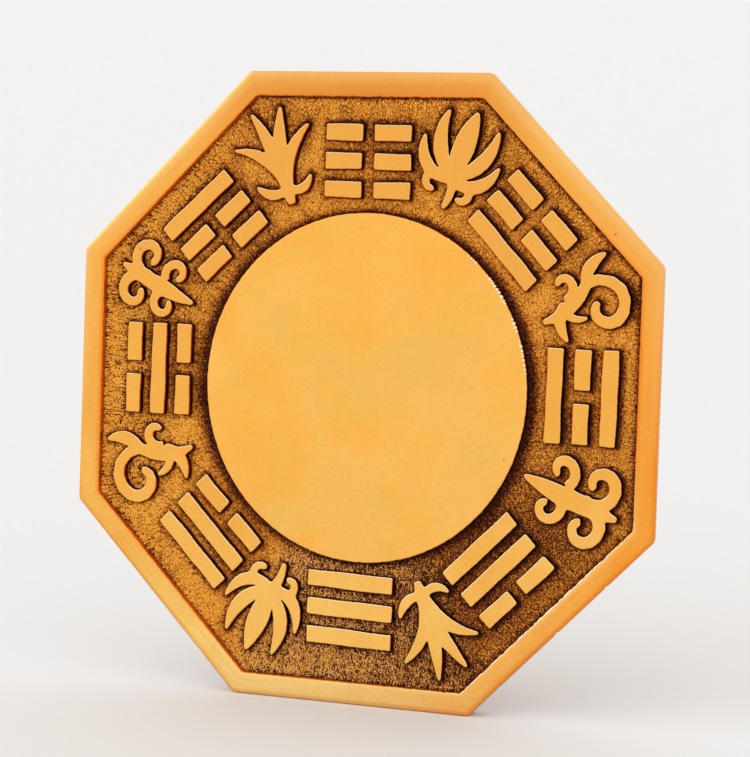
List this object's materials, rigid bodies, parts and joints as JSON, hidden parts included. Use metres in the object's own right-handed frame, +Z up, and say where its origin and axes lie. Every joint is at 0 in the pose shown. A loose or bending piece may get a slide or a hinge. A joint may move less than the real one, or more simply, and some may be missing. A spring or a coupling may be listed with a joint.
{
  "type": "bagua mirror",
  "caption": "Octagonal brass plaque with a round polished mirror, raised trigrams and corner scrolls on a dark patinated ground, on a folding strut with a hanging ring.",
  "frame": {"origin": "on the surface that the mirror stands on, under the middle of its bounding box", "axes": "+Z up; the mirror's face looks along -Y and leans back 6 degrees, so its top lies further along +Y; +X is to the right of someone facing the mirror"},
  "size_m": [0.13, 0.0276, 0.1294],
  "materials": {
    "casting_brass": "lapped and polished rim, pitted ground under a dark brown patina, satin back",
    "relief_brass": "lapped and polished faces with crisp broken edges",
    "mirror_brass": "buffed to a soft mirror, with faint specks and scratches",
    "strip_brass": "rolled strip, satin",
    "turned_brass": "turned and drawn brass, bright"
  },
  "bodies": {
    "plaque": {"corner_scroll_ene": "relief_brass", "corner_scroll_ese": "relief_brass", "corner_scroll_nne": "relief_brass", "corner_scroll_nnw": "relief_brass", "corner_scroll_sse": "relief_brass", "corner_scroll_ssw": "relief_brass", "corner_scroll_wnw": "relief_brass", "corner_scroll_wsw": "relief_brass", "hanger_strap": "strip_brass", "hinge_leaf": "strip_brass", "hinge_pin": "turned_brass", "leaf_screw_left": "turned_brass", "leaf_screw_right": "turned_brass", "mirror_disc": "mirror_brass", "plaque_casting": "casting_brass", "strap_screw_lower": "turned_brass", "strap_screw_upper": "turned_brass", "trigram_e_inner": "relief_brass", "trigram_e_middle_left": "relief_brass", "trigram_e_middle_right": "relief_brass", "trigram_e_outer": "relief_brass", "trigram_n_inner_left": "relief_brass", "trigram_n_inner_right": "relief_brass", "trigram_n_middle_left": "relief_brass", "trigram_n_middle_right": "relief_brass", "trigram_n_outer_left": "relief_brass", "trigram_n_outer_right": "relief_brass", "trigram_ne_inner": "relief_brass", "trigram_ne_middle_left": "relief_brass", "trigram_ne_middle_right": "relief_brass", "trigram_ne_outer_left": "relief_brass", "trigram_ne_outer_right": "relief_brass", "trigram_nw_inner_left": "relief_brass", "trigram_nw_inner_right": "relief_brass", "trigram_nw_middle_left": "relief_brass", "trigram_nw_middle_right": "relief_brass", "trigram_nw_outer": "relief_brass", "trigram_s_inner": "relief_brass", "trigram_s_middle": "relief_brass", "trigram_s_outer": "relief_brass", "trigram_se_inner": "relief_brass", "trigram_se_middle": "relief_brass", "trigram_se_outer_left": "relief_brass", "trigram_se_outer_right": "relief_brass", "trigram_sw_inner_left": "relief_brass", "trigram_sw_inner_right": "relief_brass", "trigram_sw_middle": "relief_brass", "trigram_sw_outer": "relief_brass", "trigram_w_inner_left": "relief_brass", "trigram_w_inner_right": "relief_brass", "trigram_w_middle": "relief_brass", "trigram_w_outer_left": "relief_brass", "trigram_w_outer_right": "relief_brass"},
    "strut": {"strut_leg": "strip_brass"},
    "ring": {"hanging_ring": "turned_brass"}
  },
  "joints": [
    {"name": "strut_fold", "type": "hinge", "parent": "plaque", "child": "strut", "pos_m": [0, 0.00343, 0.09384], "axis": [1, 0, 0], "range_deg": [-11.5, 0]},
    {"name": "ring_swing", "type": "hinge", "parent": "plaque", "child": "ring", "pos_m": [0, 0.00583, 0.1167], "axis": [1, 0, 0], "range_deg": [-5, 173]}
  ]
}
